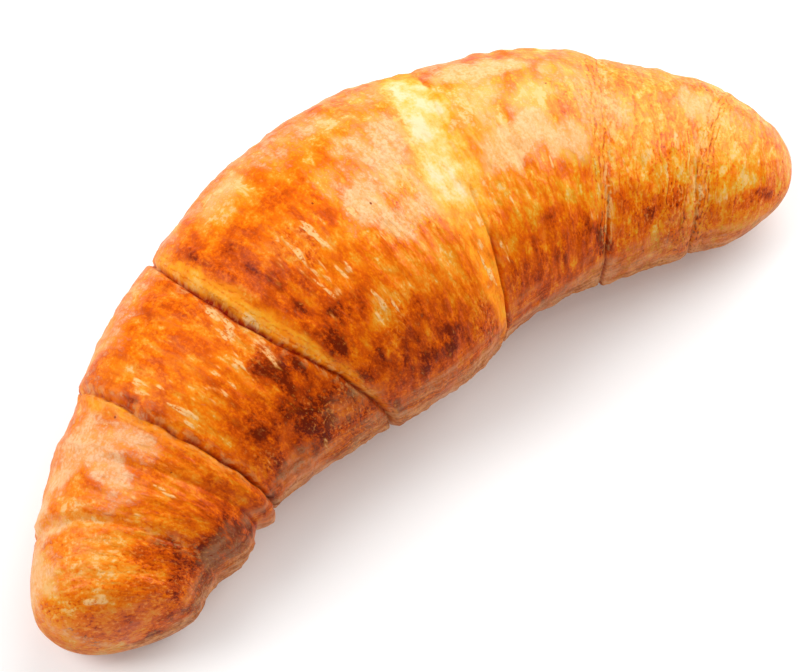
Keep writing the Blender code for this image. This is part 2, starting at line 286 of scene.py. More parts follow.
# The noises of the crust's material: grain sizes along, up and out in millimetres, detail and roughness
SURFACE_GRAINS = {
    "streaks": ((0.9, 2.0, 2.0), 3.0, 0.6), "specks": ((0.5, 0.6, 0.6), 3.0, 0.65),
    "patches": ((2.4, 3.4, 3.4), 3.0, 0.6), "broad": ((3.0, 5.5, 5.5), 2.0, 0.5),
    "blistered areas": ((7, 9, 9), 2.0, 0.5), "strip grain": ((7, 1.6, 1.6), 1.0, 0.5),
    "dots": ((1.0, 0.9, 0.9), 1.0, 0.5), "tiny dots": ((0.55, 0.8, 0.8), 1.0, 0.5),
    "flakes": ((1.3, 4.4, 4.4), 2.0, 0.5), "crumbs": ((0.9, 1.7, 1.7), 2.0, 0.5),
    "ridges": ((1.4, 3.8, 3.8), 1.0, 0.4),
}
# The spacing of the small blisters and of the burnt specks, along, up and out in millimetres
BLISTER_CELLS = (1.8, 3.2, 3.2)
BURNT_CELLS = (6, 7, 7)
# How much each mark darkens the crust, how high it is in the bump, and how far the bump stands out, in metres
BAKE_CHANGES = {
    # Some marks are painted light: shadows at the feet of torn sheets and layers, and halos round painted
    # glints
    "blisters": -0.15, "torn edges": -0.15, "cut shadows": 0.2, "fine torn edges": -0.16, "fine cut shadows": 0.18,
    "layer edges": -0.25, "layer cut shadows": 0.3, "fine layers": 0.12, "glint halos": -0.08,
    "between layers": 0.3, "dark dots": 0.3, "pale dots": -0.1,
}
BUMP_HEIGHTS = {
    "ridges": 0.45, "specks": 0.1, "streaks": 0.12, "blisters": 0.06, "torn edges": 0.12,
    "fine torn edges": 0.08, "layer edges": 0.2, "fine layers": 0.06, "between layers": -0.12,
    "uneven": 0.08, "painted_glints": 0.06, "strip grain": 0.04, "crumbs": 0.06,
}
BUMP_DISTANCE = 0.0011
CRUST_SHADER = {
    "Specular IOR Level": 0.04,
    "Coat Roughness": 0.14,
    "Subsurface Weight": 0.05,
    "Subsurface Radius": (1.0, 0.4, 0.12),
    "Subsurface Scale": 0.003,
}

# The white table under it: half its width, how far it lies below the croissant, and its colours
FLOOR_HALF = 3.0
FLOOR_GAP = 0.0001
FLOOR_COLOURS = ((0.87, 0.868, 0.865, 1), (0.89, 0.888, 0.885, 1))
FLOOR_GRAIN_SCALE = 40.0
FLOOR_SHADER = {"Roughness": 0.7, "Emission Color": (1, 1, 1, 1), "Emission Strength": 0.1}

# The camera, fitted to the outline in the photograph
VIEW_AZIMUTH = 52.6
VIEW_ELEVATION = 66.0
VIEW_DISTANCE = 0.472
AIM = Vector((-0.0001, -0.0116, 0.0144))
LENS = 117
CLIP_START = 0.01

# The light: a white studio all round, and soft windows with their azimuth and elevation, size and power
WORLD_SHADER = {"Color": (1, 1, 1, 1), "Strength": 0.46}
WINDOW_DISTANCE = 0.9
WINDOWS = (
    ("window behind", (16, 38), (1.2, 0.8), 10.5),
    ("window at the left", (143, 46), (0.4, 0.7), 5),
)

# Gradient directions and a shuffled table for the noise below
RANDOM = np.random.default_rng(7)
DIRECTIONS = RANDOM.normal(size=(256, 3))
DIRECTIONS /= np.linalg.norm(DIRECTIONS, axis=1)[:, None]
SHUFFLED = RANDOM.permutation(256)
DRAWS = RANDOM.random((256, 3))


def smooth_step(x):
    """0 below 0, 1 above 1, and a soft rise between them."""
    t = np.clip(x, 0, 1)
    return t * t * (3 - 2 * t)


def rise(x, low, high):
    """0 below low, 1 above high, and a soft rise between them."""
    return smooth_step((x - low) / (high - low))


def fall(x, low, high):
    """1 below low, 0 above high, and a soft fall between them."""
    return smooth_step((high - x) / (high - low))


def cell_number(cell, seed):
    """A number from 0 to 255 for each whole cell, the same each time."""
    mixed = SHUFFLED[(cell[..., 0] + seed) & 255]
    mixed = SHUFFLED[(mixed + cell[..., 1]) & 255]
    return SHUFFLED[(mixed + cell[..., 2]) & 255]


def soft_noise(places, seed):
    """Smooth noise, from about -1 to 1, at places measured in the noise's own grain."""
    cell = np.floor(places).astype(int)
    inside = places - cell
    fade = inside**3 * (inside * (inside * 6 - 15) + 10)
    total = np.zeros(places.shape[:-1])
    for corner in np.ndindex(2, 2, 2):
        slope = DIRECTIONS[cell_number(cell + corner, seed)]
        weight = np.prod(np.where(corner, fade, 1 - fade), -1)
        total += weight * ((inside - corner) * slope).sum(-1)
    return 1.6 * total


def domes(places, spacing, radius, seed):
    """Scattered rounded domes: 1 at the middle of each and 0 or less outside them."""
    spacing, radius = np.array(spacing, float), np.array(radius, float)
    cell = np.floor(places / spacing).astype(int)
    best = np.full(places.shape[:-1], -1.0)
    for offset in np.ndindex(3, 3, 3):
        near = cell + offset - 1
        number = cell_number(near, seed)
        middle = (near + DRAWS[number]) * spacing
        size = 0.45 + DRAWS[(number + 91) & 255, 0]
        gap = (places - middle) / (radius * size[..., None])
        best = np.maximum(best, 1 - (gap**2).sum(-1))
    return best


def through(x, knots, values):
    """A smooth curve through values at the knots, read at x."""
    knots, values = np.asarray(knots, float), np.asarray(values, float)
    slopes = np.gradient(values, knots)
    k = np.clip(np.searchsorted(knots, x) - 1, 0, len(knots) - 2)
    gap = knots[k + 1] - knots[k]
    t = (x - knots[k]) / gap
    start = (1 + 2 * t) * (1 - t) ** 2 * values[k] + t * (1 - t) ** 2 * gap * slopes[k]
    end = t**2 * (3 - 2 * t) * values[k + 1] + t**2 * (t - 1) * gap * slopes[k + 1]
    return start + end


def around(angle, front, top, back, under=None):
    """A value that changes smoothly round the roll, given at the front, top, back and underside."""
    side = (front + back) / 2
    under = side if under is None else under
    level = (side + (top + under) / 2) / 2
    twice = (side - (top + under) / 2) / 2
    once = (front - back) / 2 * np.cos(angle) + (top - under) / 2 * np.sin(angle)
    return level + once + twice * np.cos(2 * angle)


def middle_line(distance):
    """Where the middle line is and which way it heads, seen from above, at distances along it."""
    steps = np.linspace(0, LENGTH, 800)
    gap = steps[1] - steps[0]
    bend = through(steps, np.linspace(0, LENGTH, len(BEND_RADII)), 1 / BEND_RADII)
    heading = -np.concatenate([[0], np.cumsum((bend[1:] + bend[:-1]) / 2 * gap)])
    half_way = (heading[1:] + heading[:-1]) / 2
    x = np.concatenate([[0], np.cumsum(np.cos(half_way) * gap)])
    y = np.concatenate([[0], np.cumsum(np.sin(half_way) * gap)])
    turn = -math.atan2(y[-1], x[-1])
    x, y = x * math.cos(turn) - y * math.sin(turn), x * math.sin(turn) + y * math.cos(turn)
    return tuple(np.interp(distance, steps, values) for values in (x, y, heading + turn))


def cap_share(distance):
    """How wide the roll is near its rounded ends, as a share of its full width there."""
    left = np.clip(1 - distance / LEFT_CAP, 0, 1)
    right = np.clip(1 - (LENGTH - distance) / RIGHT_CAP, 0, 1)
    return ((1 - left**CAP_POWER) * (1 - right**CAP_POWER)) ** (1 / CAP_POWER)


def seam_line(seam, angle):
    """The distance along the roll at which a seam's crease crosses each angle."""
    return around(angle, *(place * MM for place in seam.places))


def ledge_width(seam, angle):
    return around(angle, *(width * MM for width in seam.ledge))


def past_crease(seam, distance, angle):
    """How far past a seam's crease each place is, towards the roll's middle."""
    past = distance - seam_line(seam, angle)
    return past if seam.horn == "left" else -past


def climbed(seam, past, width):
    """The share of a seam's step that is climbed at a distance past its crease, towards the roll's middle."""
    if seam.ledge_above:
        on_ledge = np.clip(past / width, 0, 1)
        on_rim = smooth_step((past - width + RIM) / (2 * RIM))
        return LEDGE_ABOVE_CLIMB * on_ledge + (1 - LEDGE_ABOVE_CLIMB) * on_rim
    on_ledge = np.clip(1 + past / width, 0, 1)
    return LEDGE_BELOW_CLIMB * on_ledge + (1 - LEDGE_BELOW_CLIMB) * smooth_step(past / RIM)


def seam_relief(distance, angle, wander):
    """How far the swollen wraps, their steps and their creases move the surface out or in."""
    lines = [0 * angle, *(seam_line(seam, angle) for seam in SEAMS), LENGTH + 0 * angle]
    relief = np.zeros(distance.shape)
    for number, seam in enumerate(SEAMS):
        before, line, after = lines[number : number + 3]
        past = past_crease(seam, distance, angle) + seam.ragged * wander
        rising = np.clip((distance - before) / (line - before), 0, 1)
        falling = np.clip((distance - line) / (after - line), 0, 1)
        fade = (rising + falling) / 2 if seam.horn == "left" else 1 - (rising + falling) / 2
        groove = np.clip(1 - np.abs(past) / CREASE_HALF, 0, 1)
        relief += around(angle, *seam.step) * MM * (climbed(seam, past, ledge_width(seam, angle)) - fade)
        relief -= np.clip(around(angle, *seam.crease), 0, None) * MM * groove
    for start, end, swell in zip(lines, lines[1:], SWELLS):
        share = np.clip((distance - start) / (end - start), 0, 1)
        relief += around(angle, *swell) * MM * np.sin(np.pi * share)
    return relief


def lumps(points):
    """How far the uneven dough stands out at each point."""
    places = [Vector(point) for point in points.reshape(-1, 3)]
    out = [sum(height * noise.noise(place / size) for size, height in LUMPS) for place in places]
    return np.reshape(out, points.shape[:-1])


def section(distance, angle):
    """The plain section: how far out to the side and up each place is, and which way is outward there."""
    width = through(distance, np.linspace(0, LENGTH, len(WIDTHS)), WIDTHS)
    from_middle = np.abs(2 * distance / LENGTH - 1)
    height = width * (HEIGHT_SHARE + (HORN_HEIGHT_SHARE - HEIGHT_SHARE) * smooth_step(from_middle))
    belly = BELLY_SHARE * height
    cap = cap_share(distance)
    across, up = np.cos(angle), np.sin(angle)
    power = np.where(up > 0, TOP_POWER, LOW_POWER)
    reach = np.where(up > 0, height - belly, belly * (1 + FLATTENED))
    side = np.sign(across) * np.abs(across) ** (2 / power) * width / 2 * cap
    above = belly + np.sign(up) * np.abs(up) ** (2 / power) * reach * cap
    out_side, out_up = across * reach, up * width / 2
    size = np.hypot(out_side, out_up)
    return side, above, out_side / size, out_up / size


class Crust:
    """Fields over the crust, at distances and angles: its relief, its bake, and its painted light and shade.
    """

    def __init__(self, distance, angle):
        self.distance, self.angle = np.broadcast_arrays(distance, angle)
        self.side, self.height, self.out_side, self.out_up = section(self.distance, self.angle)
        self.place = np.stack([self.distance, self.height, self.side], -1) / MM
        self.station = self.place[..., 0]
        self.facing_up = np.sin(self.angle)
        self.facing_front = np.cos(self.angle)
        self.wander = self.edge_wander()
        self.streaks = self.noise("streaks")
        self.blotches = self.noise("blotches")
        self.blisters = np.clip(domes(self.place, BLISTER_SPACING, BLISTER_RADIUS, BLISTER_SEED), 0, 1)
        self.flaky = self.flaky_share()
        self.along = self.station + 2.5 * self.noise("tear drift") + 0.8 * self.noise("fine tear drift")
        self.up = self.place[..., 1] + self.noise("layer drift") + 0.35 * self.noise("fine layer drift")
        self.strips = self.strip_share()
        self.inside, self.pale_ledge, self.layered = self.ledge_fields()
        self.band, self.creamy = self.band_fields()
        # How much of the pale inner dough's colour there is
        self.pale = np.maximum(self.pale_ledge, self.band**0.5 * self.creamy)
        self.relief = self.stand_out()

    def noise(self, name):
        grain, seed = GRAINS[name]
        return soft_noise(self.place / np.array(grain, float), seed)

    def edge_wander(self):
        """How far the sheets' cut edges wander from their smooth lines, for an edge whose raggedness is 1."""
        return (0.9 * self.noise("edge wander") + 0.25 * self.noise("fine edge wander")) * MM

    def past(self, seam):
        return past_crease(seam, self.distance, self.angle) + seam.ragged * self.wander

    def patch(self, along, turn, reach, spread):
        """How near each place is to a patch's middle: 1 there, 0 at its reach and below 0 beyond."""
        degrees = np.degrees((self.angle + np.pi) % (2 * np.pi) - np.pi)
        return 1 - ((self.station - along) / reach) ** 2 - ((degrees - turn) / spread) ** 2

    def patched(self, rows, edge, low, high):
        """The strongest of some patches at each place, with soft and uneven edges."""
        return np.max([share * rise(self.patch(*where) + edge, low, high) for *where, share in rows], 0)

    def flaky_share(self):
        """Where thin sheets are torn: mostly on the horns and by the wraps' edges, from 0 to 1."""
        horns = fall(self.station, 10, 24) + rise(self.station, 126, 140)
        areas = rise(self.noise("flaky areas"), 0.15, 0.55)
        return np.clip(0.55 * horns + 0.7 * areas, 0, 1)

    def strip_share(self):
        """How much the layers of dough that run along the roll show low on its sides, from 0 to 1."""
        low = fall(self.facing_up, -0.15, 0.45)
        above_floor = rise(self.facing_up, -0.95, -0.65)
        return low * above_floor * rise(self.noise("strip areas"), -0.35, 0.05)

    def ledge_fields(self):
        """How far across the sheets' cut edges each place is, how pale they are and how layered."""
        on_ledge, inside_all, pale, layered = np.zeros((4, *self.distance.shape))
        for seam in SEAMS:
            width = ledge_width(seam, self.angle)
            past = self.past(seam)
            inside = past if seam.ledge_above else past + width
            low, high = (past, width - past) if seam.ledge_above else (-past, width + past)
            high = high + (0.5 * MM + 0.12 * width) * self.noise("ledge edge")
            there = rise(low, -0.2 * MM, 0.3 * MM) * rise(high, -0.1 * width, 0.3 * width)
            inside_all = np.where(there > on_ledge, inside / MM, inside_all)
            on_ledge = np.maximum(on_ledge, there)
            layered = np.maximum(layered, there * seam.layered)
            if seam is not MIDDLE_WRAP:
                pale = np.maximum(pale, there * np.clip(around(self.angle, *seam.pale), 0, 1))
        return inside_all, pale, layered

    def band_fields(self):
        """Where the dough is stretched pale by the middle wrap, from 0 to 1, and how creamy it is there."""
        width = ledge_width(MIDDLE_WRAP, self.angle) / MM
        beyond = -self.past(MIDDLE_WRAP) / MM
        spread = self.noise("band edge")
        top = rise(self.facing_up, 0.8, 1)
        left_edge = 1.2 + 1.25 * width + 2 * spread
        right_edge = 0.4 + 7 * top + (0.6 + 3 * top) * spread
        left = smooth_step((left_edge + beyond) / (0.5 + 0.9 * width))
        right = smooth_step((right_edge - beyond) / (0.6 + 6 * top))
        creamy = np.clip(1 - ((beyond + 0.5 * width) / (1 + 0.75 * width)) ** 2, 0, 1)
        back = self.facing_up - 0.2 * self.facing_front
        return left * right, 0.25 + 0.66 * creamy * rise(back, 0.78, 0.94)

    def stand_out(self):
        """How far the surface stands out from the plain roll, in metres, with its fine relief."""
        fine = STREAK_HEIGHT * self.streaks + BLOTCH_HEIGHT * self.blotches + BLISTER_HEIGHT * self.blisters
        fine += GRAIN_HEIGHT * self.noise("fine relief") - SUNK
        tear = (self.along / TEAR_SPACING) % 1
        fine += TORN_HEIGHT * self.flaky * tear * fall(tear, 0.84, 1)
        layer = (self.up / LAYER_SPACING) % 1
        fine += LAYER_HEIGHT * self.strips * layer * fall(layer, 0.8, 1)
        fine -= LAMINATE_HEIGHT * self.layered * (1 + np.sin(2 * np.pi * self.inside / LAMINATE_SPACING))
        above_floor = rise(self.facing_up, -0.95, -0.75)
        relief = seam_relief(self.distance, self.angle, self.wander) + fine * MM * above_floor
        for seam in SEAMS:
            depth = np.clip(around(self.angle, *seam.crease), 0, None) * MM
            past = self.past(seam)
            core = np.clip(1 - np.abs(past) / CORE_HALF, 0, 1)
            lip = np.clip(1 + np.minimum(past, 0) / LIP_WIDTH, 0, 1) ** 2 * fall(past, -LIP_EDGE, 0)
            relief -= depth * (CORE_SHARE * core + LIP_SHARE * lip)
        return relief

    def points(self):
        """The points of the crust, on the bent roll, with its flat underside on the floor."""
        x, y, heading = middle_line(self.distance)
        side_x, side_y = np.sin(heading), -np.cos(heading)
        points = np.stack([x + side_x * self.side, y + side_y * self.side, self.height], -1)
        outward = np.stack([side_x * self.out_side, side_y * self.out_side, self.out_up], -1)
        points += outward * ((self.relief + lumps(points)) * cap_share(self.distance))[..., None]
        points[..., 2] = np.maximum(points[..., 2], 0)
        return points

    def crease_shade(self):
        """How much painted shade darkens the creases, from 0 to 1: it breaks up into dots where they are
        shallow.
        """
        dark = np.zeros(self.distance.shape)
        for seam in SEAMS:
            strength = np.clip(around(self.angle, *seam.dark), 0, 1)
            broken = rise(self.noise("crease breaks") + 1.3 * strength, 0.35, 0.85)
            half = DARK_HALF + DARK_WIDER * strength
            if seam is LEFT_OUTER_WRAP:
                half = half + GAPE_WIDER * rise(self.patch(*GAPE), -0.3, 0.7)
            line = np.clip(1.3 - np.abs(self.past(seam)) / half, 0, 1)
            dark = np.maximum(dark, strength * broken * line)
        return dark

    def bake(self):
        """How dark the crust is baked, with painted shade on the low front, from 0 to 1."""
        uneven = 0.16 * self.blotches + 0.15 * self.streaks + 0.1 * self.noise("broad bake")
        uneven += 0.13 * self.noise("fine bake") + 0.14 * self.noise("mottled bake") - 0.06 * self.blisters
        right = rise(self.station, 112, 136)
        darker, paler = 0.52 - 0.1 * right, 1.15 - 0.2 * right
        bake = 0.5 + np.where(uneven > 0, darker, paler) * uneven
        bake -= 0.07 * rise(self.station, 118, 138) * rise(self.facing_up, 0.3, 0.8)
        # Painted shade: the low front, turned away from the light, is painted darker
        painted_shade_low_front = rise(self.facing_front, 0.35, 0.95) * fall(self.facing_up, 0.25, 0.75)
        bake += (0.25 - 0.08 * right) * painted_shade_low_front
        rough = 0.7 * self.noise("patch edge")
        for *where, change in PATCHES:
            bake += change * rise(self.patch(*where) + rough, -0.8, 0.8)
        for seam in (LEFT_INNER_WRAP, LEFT_OUTER_WRAP):
            ledge_top = ledge_width(seam, self.angle) * seam.ledge_above
            above = (self.past(seam) - ledge_top) / MM - BAKED_RIM_ABOVE
            bake += 0.2 * np.exp(-((above / BAKED_RIM_WIDTH) ** 2)) * rise(rough, -0.8, 0.2)
        return np.clip(bake, PALEST_BAKE, 1)

    def painted_sheen(self):
        """How much painted highlight there is, a pale sheen on the back and at listed patches, from 0 to
        about 1.
        """
        rough = 0.9 * self.noise("veil edge") + 0.4 * self.noise("fine veil edge")
        side = 0.25 + 0.75 * rise(self.facing_up, 0.1, 0.5)
        # Painted reflection: the back of the roll, turned towards the lights behind, is painted paler
        behind = 0.5 * side * rise(0.25 * rough - self.facing_front, 0.55, 0.9)
        return np.maximum(behind, self.patched(PAINTED_SHEEN_PATCHES, rough, -0.4, 1.1))

    def painted_glints(self):
        """How dense the painted glints are, the small pale highlights, from 0 to about 1."""
        return self.patched(PAINTED_GLINT_PATCHES, 0.64 * self.noise("fleck edge"), -0.35, 0.85)

    def lips(self):
        """How near a crease each place is, from 0 to 1, where pale crumbs cling to the sheets' edges."""
        near = np.zeros(self.distance.shape)
        for seam in SEAMS:
            near = np.maximum(near, seam.layered * np.exp(-((self.past(seam) / CRUMB_REACH) ** 2)))
        return near * rise(self.facing_up, 0.15, 0.65)

    def dull_and_reflection(self):
        """How dull and greyish the crust is where the sides turn under, with a painted reflection, from 0 to
        1.
        """
        rough = self.noise("dull areas")
        low = fall(self.facing_up + 0.25 * rough, -0.16, 0.34)
        low *= 0.35 + 0.65 * rise(self.facing_front, -0.6, 0.4)
        return np.maximum(low, self.patched(DULL_AND_REFLECTING_PATCHES, 0.9 * rough, -0.6, 1.1))

    def gold(self):
        """How golden the crust is, against red, from 0 at the left horn to 1 at the right one."""
        return np.clip(0.22 + 0.7 * rise(self.station, 60, 150) + 0.3 * self.noise("gold"), 0, 1)

    def glaze(self):
        """How much shiny egg wash there is: most on top from the middle to the right, and little low down."""
        along = self.station + 5 * self.noise("glaze edge")
        brushed = 0.15 + 0.85 * rise(along, 76, 88) + 0.5 * fall(along, 28, 36)
        top = rise(self.facing_up, 0.6, 0.98)
        return (0.02 + 0.4 * top * brushed) * (1 - 0.4 * self.pale)

    def under(self):
        """How near the flat underside each place is, from 0 to 1."""
        return fall(self.place[..., 1] - 0.8 * self.noise("underside edge"), 0.2, 1.8)

    def fields(self):
        """Every field that the crust's material reads, by name."""
        stored = ("place", "pale", "band", "flaky", "along", "up", "inside", "strips", "layered")
        made = ("crease_shade", "bake", "gold", "under", "painted_sheen", "painted_glints", "lips", "dull_and_reflection", "glaze")
        fields = {name: getattr(self, name) for name in stored}
        fields.update((name, getattr(self, name)()) for name in made)
        fields["ledges"] = (self.pale_ledge > 0) * 1.0
        return fields


def seam_rows(seam, angle):
    """The rows that a seam needs, from left to right: at and beside its crease and its ledge's edges."""
    width = ledge_width(seam, angle)
    creased = [-CREASE_HALF, 0, CREASE_HALF]
    if seam.ledge_above:
        offsets = [-2 * CREASE_HALF, *creased, width, width + 1.5 * RIM]
    else:
        offsets = [-width - RIM, -width, *creased, 2.5 * CREASE_HALF]
    if seam.horn == "right":
        offsets = [-offset for offset in reversed(offsets)]
    return [seam_line(seam, angle) + offset for offset in offsets]


def rows_along(angle):
    """All rows of the fine mesh, each a distance for every angle, from the left tip to the right one."""
    turns = np.radians(np.arange(CAP_TURN, 90.1, CAP_TURN))
    fixed = [LEFT_CAP + 0 * angle]
    for seam in SEAMS:
        fixed += seam_rows(seam, angle)
    right_cap = [LENGTH - RIGHT_CAP * (1 - math.cos(turn)) + 0 * angle for turn in turns[::-1]]
    right_cap = [row for row in right_cap if row.min() > fixed[-1].max() + RIM]
    fixed.append(right_cap[0])
    rows = [LEFT_CAP * (1 - math.cos(turn)) + 0 * angle for turn in turns[:-1]]
    for start, end in zip(fixed, fixed[1:]):
        parts = max(2, round(float(np.mean(end - start)) / ROW_SPACING))
        rows += [start + (end - start) * part / parts for part in range(parts)]
    return np.array(rows + right_cap)


def columns_round():
    """The angles of the mesh's columns, in radians, farthest apart underneath."""
    stretches = [np.linspace(start, end, count, endpoint=False) for start, end, count in COLUMN_STRETCHES]
    return np.radians(np.concatenate(stretches))


def ring_faces(rows, columns):
    """Faces between neighbouring rings, and a fan over each end, whose poles are the last two points."""
    here = np.arange(rows * columns).reshape(rows, columns)
    after = np.roll(here, -1, 1)
    quads = np.stack([here[:-1], here[1:], after[1:], after[:-1]], -1).reshape(-1, 4).tolist()
    left = [(rows * columns, first, second) for first, second in zip(here[0], after[0])]
    right = [(rows * columns + 1, second, first) for first, second in zip(here[-1], after[-1])]
    return quads + left + right


def add_field(mesh, name, values):
    kind, part = ("FLOAT_VECTOR", "vector") if values.ndim == 2 else ("FLOAT", "value")
    field = mesh.attributes.new(name, kind, "POINT")
    field.data.foreach_set(part, values.astype(np.float32).ravel())


def crust_mesh():
    """The fine mesh of the whole croissant, with its fields stored on its points."""
    angle = columns_round()
    rows = rows_along(angle)
    grid = Crust(rows, angle[None, :])
    ends = Crust(np.array([0.0, LENGTH]), np.array([0.0, 0.0]))
    points = np.concatenate([grid.points().reshape(-1, 3), ends.points()])
    low, high = points.min(0), points.max(0)
    points -= ((low[0] + high[0]) / 2, (low[1] + high[1]) / 2, 0)
    points = np.clip(points, CAD_BOX[0], CAD_BOX[1])
    mesh = bpy.data.meshes.new("croissant crust")
    mesh.from_pydata(points.tolist(), [], ring_faces(*rows.shape))
    mesh.shade_smooth()
    end_fields = ends.fields()
    for name, values in grid.fields().items():
        shape = (-1, 3) if values.ndim == 3 else -1
        add_field(mesh, name, np.concatenate([values.reshape(shape), end_fields[name]]))
    return mesh


class Nodes:
    """Small helper that adds nodes to a material and joins them."""

    def __init__(self, name):
        self.material = bpy.data.materials.new(name)
        self.material.use_nodes = True
        self.tree = self.material.node_tree
        self.shader = self.tree.nodes["Principled BSDF"]

    def node(self, kind, inputs=None, **settings):
        made = self.tree.nodes.new(kind)
        for key, value in settings.items():
            setattr(made, key, value)
        for key, value in (inputs or {}).items():
            self.feed(made.inputs[key], value)
        return made

    def feed(self, socket, value):
        if hasattr(value, "is_output"):
            self.tree.links.new(value, socket)
        else:
            socket.default_value = value

    def field(self, name, output="Fac"):
        return self.node("ShaderNodeAttribute", attribute_name=name).outputs[output]

    def math(self, operation, *values):
        made = self.node("ShaderNodeMath", operation=operation)
        for socket, value in zip(made.inputs, values):
            self.feed(socket, value)
        return made.outputs[0]

    def sum(self, first, *terms):
        """The first value plus each term, a value and its factor."""
        total = first
        for value, factor in terms:
            total = self.math("MULTIPLY_ADD", value, factor, total)
        return total

    def times(self, first, *others):
        for other in others:
            first = self.math("MULTIPLY", first, other)
        return first

    def limited(self, value):
        """The value, no less than 0 and no more than 1."""
        return self.math("MINIMUM", self.math("MAXIMUM", value, 0.0), 1.0)

    def repeat(self, value, spacing):
        """How far each place is through its own stretch of this spacing, from 0 to 1."""
        return self.math("FRACT", self.math("DIVIDE", value, spacing))

    def rise(self, value, low, high, start=0.0, end=1.0):
        """0 below low, 1 above high and a soft rise between them."""
        made = self.node("ShaderNodeMapRange", interpolation_type="SMOOTHSTEP")
        for key, number in (("From Min", low), ("From Max", high), ("To Min", start), ("To Max", end)):
            made.inputs[key].default_value = number
        self.feed(made.inputs["Value"], value)
        return made.outputs["Result"]

    def fall(self, value, low, high):
        """1 below low, 0 above high and a soft fall between them."""
        return self.rise(value, low, high, 1.0, 0.0)

    def mix(self, share, first, second, blend="MIX"):
        made = self.node("ShaderNodeMix", data_type="RGBA", blend_type=blend)
        self.feed(made.inputs[0], share)
        self.feed(made.inputs[6], first)
        self.feed(made.inputs[7], second)
        return made.outputs[2]

    def ramp(self, value, stops):
        made = self.node("ShaderNodeValToRGB", {"Fac": value})
        elements = made.color_ramp.elements
        elements[0].position, elements[0].color = stops[0][0], (*stops[0][1], 1)
        elements[1].position, elements[1].color = stops[-1][0], (*stops[-1][1], 1)
        for position, colour in stops[1:-1]:
            elements.new(position).color = (*colour, 1)
        return made.outputs["Color"]

    def stretched(self, places, sizes):
        """Places measured in a grain whose sizes along, up and out are given in millimetres."""
        made = self.node("ShaderNodeVectorMath", operation="MULTIPLY")
        self.feed(made.inputs[0], places)
        self.feed(made.inputs[1], tuple(1 / size for size in sizes))
        return made.outputs[0]

    def grain(self, places, sizes, detail, roughness):
        settings = {"Scale": 1.0, "Detail": detail, "Roughness": roughness}
        made = self.node("ShaderNodeTexNoise", {"Vector": self.stretched(places, sizes), **settings})
        return made.outputs["Fac"]

    def cells(self, places, sizes):
        """How far each place is from the nearest of the points scattered one to a cell."""
        inputs = {"Vector": self.stretched(places, sizes), "Scale": 1.0, "Randomness": 1.0}
        return self.node("ShaderNodeTexVoronoi", inputs).outputs["Distance"]

    def set_shader(self, settings):
        for name, value in settings.items():
            self.shader.inputs[name].default_value = value


def noise_marks(nodes, places):
    """The plain noises, the uneven ones around 0, and small round blisters and burnt specks."""
    marks = {name: nodes.grain(places, *settings) for name, settings in SURFACE_GRAINS.items()}
    marks["streaked"] = nodes.math("SUBTRACT", marks["streaks"], 0.5)
    marks["speckled"] = nodes.math("SUBTRACT", marks["specks"], 0.5)
    marks["uneven"] = nodes.math("SUBTRACT", marks["patches"], 0.5)
    marks["broadly uneven"] = nodes.math("SUBTRACT", marks["broad"], 0.5)
    blisters = nodes.fall(nodes.cells(places, BLISTER_CELLS), 0.15, 0.45)
    marks["blisters"] = nodes.times(blisters, nodes.rise(marks["blistered areas"], 0.5, 0.58))
    burnt = nodes.fall(nodes.cells(places, BURNT_CELLS), 0.02, 0.05)
    marks["burnt specks"] = nodes.times(burnt, nodes.rise(marks["patches"], 0.45, 0.5))
    return marks


def tear_marks(nodes, marks):
    """The pale torn edges of thin sheets and the painted shadows at their feet, coarse and fine."""
    flaky, along = nodes.field("flaky"), nodes.field("along")
    tear = nodes.repeat(along, TEAR_SPACING)
    fine_tear = nodes.repeat(nodes.sum(along, (marks["streaks"], 1.4)), FINE_TEAR_SPACING)
    fine_areas = nodes.times(flaky, nodes.rise(marks["patches"], 0.42, 0.55))
    return {
        "torn edges": nodes.times(nodes.rise(tear, 0.8, 0.97), flaky),
        # Painted shadow at the foot of each torn sheet
        "cut shadows": nodes.times(nodes.fall(tear, 0.0, 0.1), flaky, nodes.rise(marks["specks"], 0.4, 0.55)),
        "fine torn edges": nodes.times(nodes.rise(fine_tear, 0.6, 0.95), fine_areas),
        # Painted shadow at the foot of each fine tear
        "fine cut shadows": nodes.times(nodes.fall(fine_tear, 0.0, 0.2), fine_areas),
    }


def layer_marks(nodes, marks):
    """The layers of dough low on the sides with painted shadows at their feet, the dark lines between those
    that show on a ledge, and the painted shade in the creases.
    """
    strips, up = nodes.field("strips"), nodes.field("up")
    layer = nodes.repeat(up, LAYER_SPACING)
    fine_layer = nodes.repeat(nodes.sum(up, (marks["patches"], 1.0)), FINE_LAYER_SPACING)
    across = nodes.sum(nodes.field("inside"), (marks["streaks"], 1.2), (marks["patches"], 1.0))
    laminate = nodes.rise(nodes.math("SINE", nodes.times(across, LAMINATE_TURN)), 0.2, 0.9)
    dotted = nodes.rise(marks["dots"], 0.44, 0.54)
    return {
        "strips": strips,
        "layer edges": nodes.times(nodes.rise(layer, 0.7, 0.95), strips),
        # Painted shadow at the foot of each layer
        "layer cut shadows": nodes.times(nodes.fall(layer, 0.0, 0.15), strips),
        "fine layers": nodes.times(nodes.rise(fine_layer, 0.5, 0.9), strips),
        "between layers": nodes.times(laminate, dotted, nodes.field("layered")),
        "painted crease shade": nodes.times(nodes.field("crease_shade"), nodes.sum(0.7, (dotted, 0.3))),
    }


